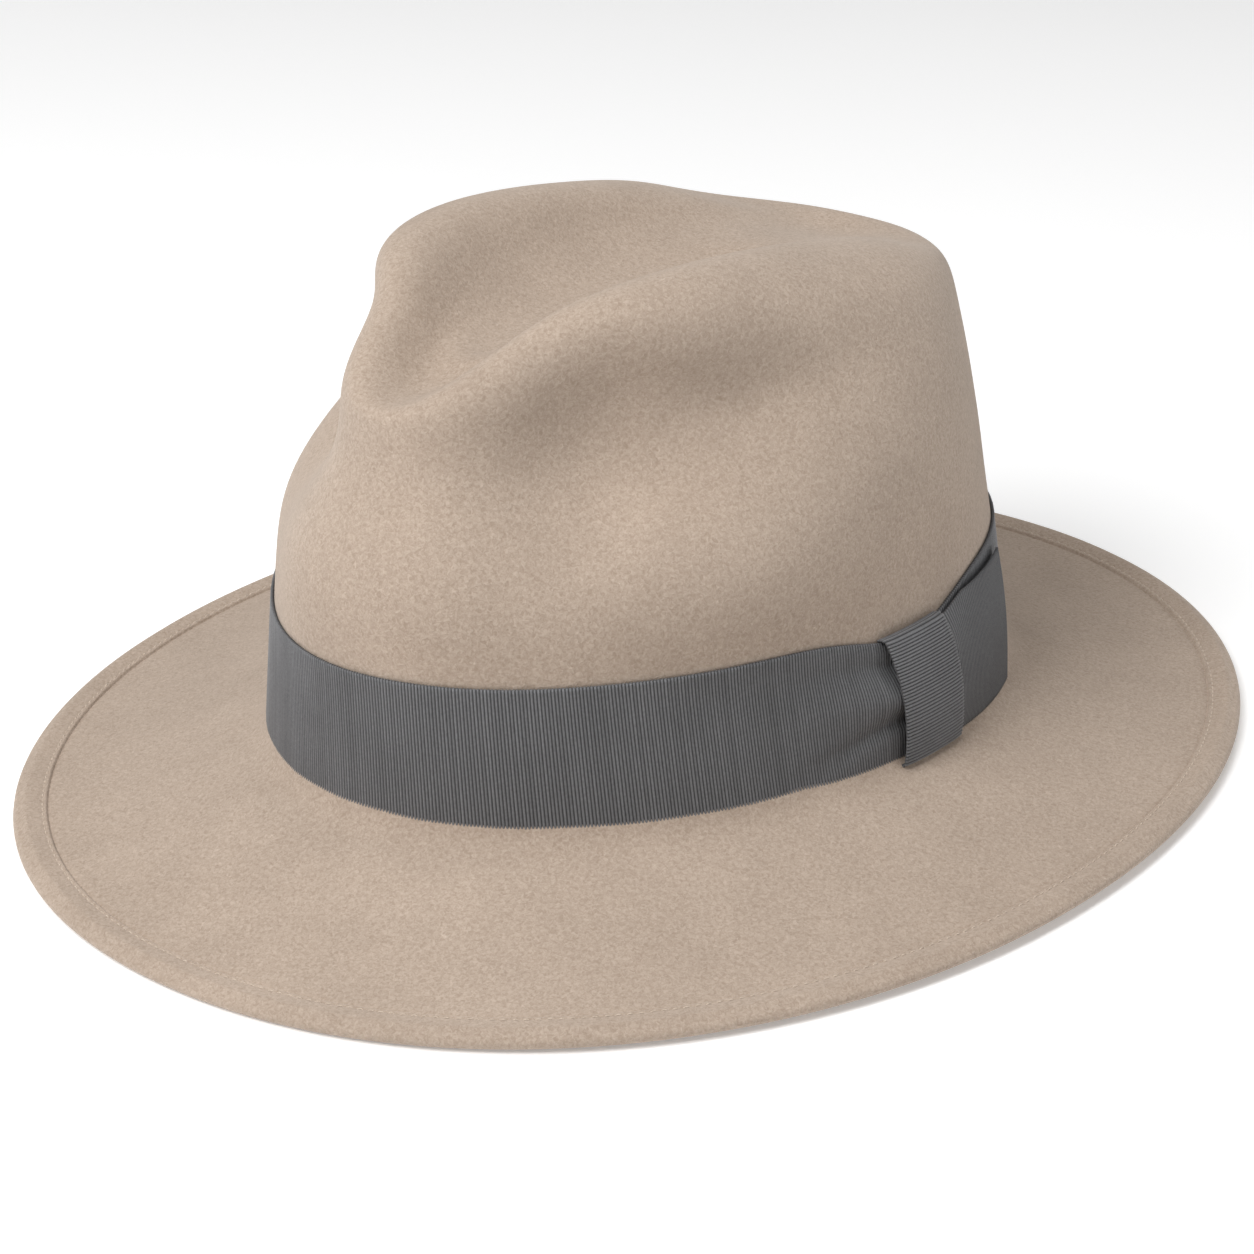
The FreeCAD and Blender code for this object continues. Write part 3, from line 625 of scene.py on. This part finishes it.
def hatband():
    _, total = even_angles(0, 2 * PI, 10)
    ribs = int(round(total / RIB_PITCH))
    cols = ribs * RIB_STEPS
    th, _ = even_angles(0, 2 * PI, cols + 1)
    th = th[:-1]
    phase = np.arange(cols) / RIB_STEPS
    wave = rib_wave(phase)
    uneven = rng.uniform(0.82, 1.0, ribs)[np.floor(phase).astype(int)]
    deg = np.degrees(signed(th))
    # pleats run into the knot from its front side
    near = (np.clip((deg + 20) / 20, 0, 1) ** 1.5 * (deg < KNOT_ANGLE + 6)
            * np.clip((KNOT_ANGLE + 6 - deg) / 4, 0, 1))
    shares = np.linspace(0, 1, 40)
    slow = 0.08 * np.sin(5 * th + 0.7) + 0.06 * np.sin(11 * th + 2.1) + 0.04 * np.sin(23 * th)
    edge = 0.20 * (wave - 0.4) * uneven
    grid, rib_shade = [], []

    def height_of(share):
        h = band_low(th) + (band_high(th) - band_low(th)) * share + 0.10 * np.sin(9 * th + 1.0)
        return h + edge * at_edge(share)

    def swell_of(share):
        out = band_swell(th, share) + 0.35 * near * math.sin(PI * share)
        bulge = 1.5 * near * bell(share, 0.53, 0.13)
        dip = 1.25 * near * bell(share, 0.80, 0.085)
        slope = 0.10 + 0.24 * np.clip((deg + 19) / 18, 0, 1)
        valley = 1.15 * near ** 0.6 * bell(share, slope, 0.07)
        wave_out = slow * math.sin(PI * share) ** 0.5
        return np.maximum(out + bulge - dip - valley + wave_out, -0.15)

    # painted groove shade for each point: low in the grooves, high on the ribs' crests; the three
    # inner rows, next to the crown, are painted darker
    for share in shares:
        base = BAND_GAP + swell_of(share)
        grid.append(wall(th, height_of(share), base + BAND_T - 0.30 + 0.30 * wave * uneven))
        rib_shade.append(wave * uneven)
    for share in (1.0, 0.5, 0.0):
        grid.append(wall(th, height_of(share), BAND_GAP - 0.15))
        rib_shade.append(wave * 0.3)
    grid = np.array(grid)
    faces = grid_faces(len(grid), cols, True, True)
    obj = new_object("hatband_ribbon", grid.reshape(-1, 3), faces, RIBBON_LOOK, np.ravel(rib_shade))
    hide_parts("hatband")


def knot_angles():
    """Angles of the knot's two sides."""
    half = math.degrees(0.5 * KNOT_WIDTH / WIDTH)
    return math.radians(KNOT_ANGLE - half), math.radians(KNOT_ANGLE + half)


def bow_knot():
    """Strap with its ribs lying along the hat, wrapped over the top and bottom of the band."""
    start, end = knot_angles()
    cols = 34
    along = np.linspace(0, 1, cols)
    bottom = min(band_low(start), band_low(end)) - 0.5 * BAND_T - RIBBON_CLEAR
    top = max(band_high(start), band_high(end)) + 0.5 * BAND_T + RIBBON_CLEAR
    over = BAND_GAP + GATHER_SWELL + BAND_T + RIBBON_CLEAR + KNOT_LIFT + 0.15
    # the strap's line in height and distance from the crown: up the face and in at both ends
    share = np.linspace(0, 1, 41)
    face_h = bottom + (top - bottom) * share
    face_o = over + KNOT_CROWN * (1.4 * np.sin(PI * share) ** 0.8 - 0.4)
    path = [(bottom + 0.25, BAND_GAP), (bottom + 0.02, 0.5 * face_o[0])]
    path += list(zip(face_h, face_o)) + [(top - 0.02, 0.5 * face_o[0]), (top - 0.25, BAND_GAP)]
    path = np.array(path)
    s = run_length(path)
    path = along_line(path, s, np.linspace(0, s[-1], 240))
    for _ in range(22):
        path[1:-1] = 0.5 * path[1:-1] + 0.25 * (path[:-2] + path[2:])
    s = run_length(path)
    ribs = int(round(s[-1] / KNOT_RIB_PITCH))
    at = np.linspace(0, s[-1], ribs * RIB_STEPS + 1)
    line = along_line(path, s, at)
    tangent = np.gradient(line, axis=0)
    tangent /= np.linalg.norm(tangent, axis=1, keepdims=True)
    normal = np.stack([-tangent[:, 1], tangent[:, 0]], 1)
    wave = rib_wave(np.arange(len(at)) / RIB_STEPS)
    count = len(at)
    layers = []
    for lift in (0.28 + 0.30 * wave, np.full(count, -0.05)):
        rows = []
        for i in range(count):
            h, out = line[i] + normal[i] * lift[i]
            level = (h - bottom) / (top - bottom)
            lean = 0.010 * math.sin(PI * min(max(level, 0), 1)) - 0.008 * (level - 0.5)
            th = start + lean + (end - start) * along
            th[0] -= 0.0016 * wave[i]
            th[-1] += 0.0016 * wave[i]
            roll = 0.25 * np.minimum(1, np.minimum(along, 1 - along) * 7) - 0.25
            rows.append(wall(th, h, out + roll))
        layers.append(np.array(rows))
    outer, inner = layers
    verts = np.concatenate([outer.reshape(-1, 3), inner.reshape(-1, 3)])
    faces = sheet_faces(count, cols, count * cols)
    # painted groove shade: low in the outer face's grooves, high on the ribs' crests; the inner
    # face gets one low, dark value
    values = np.concatenate([np.repeat(wave, cols), np.full(count * cols, 0.3)])
    obj = new_object("bow_knot_strap", verts, faces, RIBBON_LOOK, values)
    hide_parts("bow_knot")


def sheet_faces(lines, cols, back):
    """Faces of a thin sheet: front grid, back grid starting at the index back, four edges."""
    faces = grid_faces(lines, cols, False, False)
    faces += [tuple(reversed(f)) for f in grid_faces(lines, cols, False, False, back)]
    for i in range(lines - 1):
        a, b = i * cols, (i + 1) * cols
        faces.append((a, b, back + b, back + a))
        faces.append((b + cols - 1, a + cols - 1, back + a + cols - 1, back + b + cols - 1))
    last = (lines - 1) * cols
    for j in range(cols - 1):
        faces.append((j + 1, j, back + j, back + j + 1))
        faces.append((last + j, last + j + 1, back + last + j + 1, back + last + j))
    return faces


def bow_tail():
    """Loose end of the bow: ribs across it, cut nearly straight."""
    start = knot_angles()[1] - math.radians(1.5)
    top_end = knot_angles()[1] + math.radians(0.3) + TAIL_LENGTH / (0.5 * (LENGTH + WIDTH))
    bottom_end = top_end - math.radians(TAIL_SLANT)
    lines = 40
    ribs = int(TAIL_LENGTH * 1.05 / RIB_PITCH)
    stations = ribs * RIB_STEPS + 1
    along = np.linspace(0, 1, stations)
    wave = rib_wave(along * ribs)
    outer, inner, rib_shade = [], [], []
    for share in np.linspace(0, 1, lines):
        end = bottom_end + (top_end - bottom_end) * share
        # next to the knot the ribs bow out, because the ribbon is pinched there
        pinched = along / 0.12 * np.exp(-along / 0.12) * 2.2
        arc = 0.075 * np.exp(-along / 0.22) * (1 - (2 * share - 1) ** 2) * pinched
        th = start + (end - start) * (along + arc)
        low = band_low(th) + 0.1
        high = np.minimum(band_high(th) - RIBBON_CLEAR, TAIL_HEIGHT)
        h = low + (high - low) * share
        h = h + 0.16 * (wave - 0.4) * at_edge(share)
        over = BAND_GAP + band_swell(th, share) + BAND_T + RIBBON_CLEAR
        stand = over + 0.9 * math.sin(PI * share) + 0.8 * share
        pleat = 0.45 * np.exp(-along / 0.20) * math.sin(3.0 * PI * share + 0.4)
        outer.append(wall(th, h, stand + pleat + 0.42 + 0.22 * wave))
        inner.append(wall(th, h, stand + pleat))
        # painted groove shade, whose contrast fades along the tail away from the knot
        rib_shade.append(0.34 + (wave - 0.34) * (0.30 + 0.70 * np.exp(-along / 0.30)))
    outer, inner = np.array(outer), np.array(inner)
    verts = np.concatenate([outer.reshape(-1, 3), inner.reshape(-1, 3)])
    n = lines * stations
    faces = [tuple(reversed(f)) for f in sheet_faces(lines, stations, n)]
    rib_shade = np.array(rib_shade)
    # the last three stations, at the cut end, are painted darker
    rib_shade[:, -3:] *= 0.3
    values = np.concatenate([rib_shade.ravel(), np.full(n, 0.3)])
    obj = new_object("bow_tail_ribbon", verts, faces, RIBBON_LOOK, values)
    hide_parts("bow_tail")


# ------------------------------------------------------------ inside
LINING_DEPTH = FELT + LINING_GAP
LEATHER_DEPTH = LINING_DEPTH + LINING + LINING_GAP
LINING_TOP = 2.9
REED_LEVEL = -FELT + 0.5 * REED
INSIDE_COLS = 480


def closed_ring(name, sections, material, node):
    """Ring that goes all round the hat, from the rings of points round its section."""
    grid = np.array(sections)
    faces = grid_faces(len(grid), grid.shape[1], True, True)
    obj = new_object(name, grid.reshape(-1, 3), faces, material)
    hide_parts(node)
    return obj


def lining_side():
    th = ring_angles(INSIDE_COLS)
    low = float(np.interp(8.0, Z_TABLE, V_TABLE))
    levels = np.linspace(low, LINING_TOP, 30)
    fold = 0.16 * np.sin(26 * th + 2 * np.sin(3 * th)) + 0.12 * np.sin(41 * th + 1.3)
    growth = np.linspace(0, 1, 30)

    def face(depth):
        return [to_hat(inside(v, th, depth + fold * k)) for v, k in zip(levels, growth)]

    outer = face(LINING_DEPTH + 0.25)
    inner = face(LINING_DEPTH + 0.25 + LINING)
    obj = closed_ring("lining_side_panel", inner + outer[::-1], SATIN_LOOK, "lining_side")


def lining_tip():
    cols = INSIDE_COLS
    th = ring_angles(cols)
    rim = inside(LINING_TOP + 0.06, th, LINING_DEPTH + 0.2)
    top = 0.93 * HEIGHT - LINING
    middle = -0.03 * LENGTH
    pucker = 0.5 * np.sin(40 * th) + 0.35 * np.sin(63 * th + 1.0)

    def ring(share, drop):
        rise = (top - rim[:, 2]) * ease(share * 1.4)
        x = rim[:, 0] * (1 - share)
        y = middle + (rim[:, 1] - middle) * (1 - share)
        z = rim[:, 2] + rise - drop + 0.35 * pucker * math.exp(-share / 0.06) * (share > 0)
        return to_hat(np.stack([x, y, z], 1))

    shares = np.concatenate([np.linspace(0, 0.2, 9), np.linspace(0.2, 0.97, 22)[1:]])
    outer = [ring(s, 0.0) for s in shares]
    inner = [ring(s, LINING) for s in shares]
    grid = np.array(outer[::-1] + inner)
    count = len(grid)
    faces = [tuple(reversed(f)) for f in grid_faces(count, cols, False, True)]
    faces += mirror_cap(0, cols, False) + mirror_cap((count - 1) * cols, cols, True)
    obj = new_object("lining_tip_panel", grid.reshape(-1, 3), faces, SATIN_LOOK)
    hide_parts("lining_tip")


def sweatband():
    th = ring_angles(INSIDE_COLS)
    bottom = REED_LEVEL + 0.5 * REED + 0.1
    depth = LEATHER_DEPTH
    slow = 0.12 * np.sin(6 * th) + 0.1 * np.sin(13 * th + 1)
    seam = bell(np.degrees(th), 90.0, 1.1)
    levels = np.linspace(bottom, SWEAT_H, 26)
    inner = []
    for i, h in enumerate(levels):
        thick = LEATHER * (1.0 - 0.35 * (h > SWEAT_H - 1.5)) + 0.15 * seam
        inner.append(wall(th, h, -depth - thick - slow * 0.5 * (i / 25)))
    outer = [wall(th, h, -depth - slow * 0.5 * (i / 25)) for i, h in enumerate(levels)]
    obj = closed_ring("sweatband_leather", inner + outer[::-1], LEATHER_LOOK, "sweatband")


def round_cord(name, centre, radius, material, node, sides, wobble=0.0):
    """Closed cord round its centre line, a little uneven where wobble isn't 0."""
    cols = len(centre)
    along = np.roll(centre, -1, 0) - np.roll(centre, 1, 0)
    out = np.stack([along[:, 1], -along[:, 0], np.zeros(cols)], 1)
    out /= np.linalg.norm(out, axis=1, keepdims=True)
    up = np.array([0, 0, 1.0])
    rows = []
    for k in range(sides):
        turn = 2 * PI * k / sides
        r = radius * (1 + wobble * np.sin(np.arange(cols) * 0.8 + 2 * turn))[:, None]
        rows.append(centre + out * r * math.cos(turn) + up * r * math.sin(turn))
    grid = np.array(rows)
    faces = [tuple(reversed(f)) for f in grid_faces(sides, cols, True, True)]
    obj = new_object(name, grid.reshape(-1, 3), faces, material)
    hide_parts(node)


def sweatband_reed():
    th = ring_angles(720)
    middle = inside(0.0, th, LEATHER_DEPTH + 0.5 * LEATHER)
    centre = to_hat(middle + np.array([0, 0, REED_LEVEL]))
    round_cord("sweatband_reed_cover", centre, 0.5 * REED, TAPE_LOOK, "sweatband_reed",
               14, 0.02)


def sweatband_stitching():
    """Zigzag stitches that join the leather to the reed's cover."""
    level = REED_LEVEL + 0.5 * REED + 2.0
    legs, steps = 230, 16
    th = ring_angles(legs * steps)
    zig = np.abs(((np.arange(len(th)) / steps) % 2) - 1) * 2 - 1
    centre = wall(th, level + 0.9 * zig, -LEATHER_DEPTH - LEATHER - 0.18)
    round_cord("sweatband_zigzag", centre, 0.16, BROWN_THREAD, "sweatband_stitching",
               6)


def rear_bow():
    """Small ribbon bow on the sweatband's back seam."""
    low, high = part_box("sweatband_rear_bow")
    middle = 0.5 * (np.array(low) + np.array(high)) / MM
    half_w = 0.5 * (high[0] - low[0]) / MM
    half_h = 0.5 * (high[2] - low[2]) / MM
    cols, lines = 121, 13
    u = np.linspace(-1, 1, cols)
    tall = 0.28 + 0.72 * np.abs(u) ** 0.8
    thick = 0.5 * (high[1] - low[1]) / MM
    front, back = [], []
    for w in np.linspace(-1, 1, lines):
        x = middle[0] + half_w * u
        z = middle[2] + half_h * tall * w
        fold = 0.35 * thick * np.sin(3.5 * PI * w) * np.exp(-np.abs(u) / 0.35)
        puff = 0.55 * thick * np.exp(-((np.abs(u) - 0.45) / 0.35) ** 2)
        front.append(np.stack([x, middle[1] - thick * 0.35 - puff - fold, z], 1))
        back.append(np.stack([x, np.full(cols, middle[1] + thick * 0.9), z], 1))
    front, back = np.array(front), np.array(back)
    verts = np.concatenate([front.reshape(-1, 3), back.reshape(-1, 3)])
    faces = sheet_faces(lines, cols, cols * lines)
    wave = rib_wave(np.abs(u) * half_w / SMALL_RIB_PITCH)
    # painted groove shade, with less contrast on the small bow
    values = np.tile(0.25 + 0.5 * wave, 2 * lines)
    obj = new_object("sweatband_small_bow", verts, faces, RIBBON_LOOK, values)
    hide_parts("sweatband_rear_bow")


felt_body()
stitches()
hatband()
bow_knot()
bow_tail()
lining_side()
lining_tip()
sweatband()
sweatband_reed()
sweatband_stitching()
rear_bow()


# ------------------------------------------------------------ floor, lights, camera
FLOOR_HALF = 6.0
LIGHT_DISTANCE, LIGHT_SIZE, LIGHT_AIM = 1.5, 0.9, 0.06
# each light: degrees round from the camera's side of the hat, height in degrees, power
LIGHTS = (
    ("key", 315, 48, 18.6), ("top", 0, 89, 8.6), ("right", 90, 18, 4.6), ("left", 270, 18, 2.8),
    ("back_left", 225, 18, 2.4), ("right_high", 90, 70, 2.0), ("front", 45, 18, 1.2))
CAMERA_AZIMUTH, CAMERA_ELEVATION, CAMERA_ROLL = 42.603, 24.331, 2.147
CAMERA_DISTANCE = 1.0
AIM_HEIGHT, AIM_RIGHT, AIM_UP = 0.05269, -0.003085, -0.019738
FOCAL_PIXELS, FRAME_PIXELS, SENSOR = 3896.91, 1254, 36.0


def floor():
    size = FLOOR_HALF
    mesh = bpy.data.meshes.new("floor")
    corners = [(-size, -size, 0), (size, -size, 0), (size, size, 0), (-size, size, 0)]
    mesh.from_pydata(corners, [], [(0, 1, 2, 3)])
    mesh.materials.append(floor_material())
    obj = bpy.data.objects.new("floor", mesh)
    bpy.context.scene.collection.objects.link(obj)


def studio_light(name, around, height, power):
    """Round soft light that looks at the hat."""
    a, h, az = math.radians(around), math.radians(height), math.radians(CAMERA_AZIMUTH)
    right = Vector((math.cos(az), math.sin(az), 0.0))
    toward = Vector((math.sin(az), -math.cos(az), 0.0))
    level = right * math.sin(a) + toward * math.cos(a)
    away = level * math.cos(h) + Vector((0, 0, math.sin(h)))
    light = bpy.data.lights.new(name, "AREA")
    light.shape = "DISK"
    light.size = LIGHT_SIZE
    light.energy = power
    obj = bpy.data.objects.new(name, light)
    bpy.context.scene.collection.objects.link(obj)
    obj.location = Vector((0, 0, LIGHT_AIM)) + away * LIGHT_DISTANCE
    obj.rotation_euler = away.to_track_quat("Z", "Y").to_euler()


def camera():
    az, el = math.radians(CAMERA_AZIMUTH), math.radians(CAMERA_ELEVATION)
    roll = math.radians(CAMERA_ROLL)
    back = Vector((math.sin(az) * math.cos(el), -math.cos(az) * math.cos(el), math.sin(el)))
    right = Vector((math.cos(az), math.sin(az), 0.0))
    up = back.cross(right)
    aim = Vector((0, 0, AIM_HEIGHT)) + right * AIM_RIGHT + up * AIM_UP
    place = aim + back * CAMERA_DISTANCE
    side = right * math.cos(roll) - up * math.sin(roll)
    top = right * math.sin(roll) + up * math.cos(roll)
    data = bpy.data.cameras.new("camera")
    data.sensor_width = SENSOR
    data.lens = FOCAL_PIXELS / FRAME_PIXELS * SENSOR
    data.clip_start = 0.01
    obj = bpy.data.objects.new("camera", data)
    bpy.context.scene.collection.objects.link(obj)
    obj.matrix_world = Matrix(((side.x, top.x, back.x, place.x),
                               (side.y, top.y, back.y, place.y),
                               (side.z, top.z, back.z, place.z), (0, 0, 0, 1)))
    bpy.context.scene.camera = obj


def dark_world():
    """Only the lights and the floor's glow light the hat."""
    world = bpy.data.worlds.new("studio")
    bpy.context.scene.world = world
    world.use_nodes = True
    background = world.node_tree.nodes["Background"]
    background.inputs[0].default_value = (1.0, 1.0, 1.0, 1.0)
    background.inputs[1].default_value = 0.0


floor()
camera()
for light_row in LIGHTS:
    studio_light(*light_row)
dark_world()
bpy.context.scene.view_settings.view_transform = "Standard"
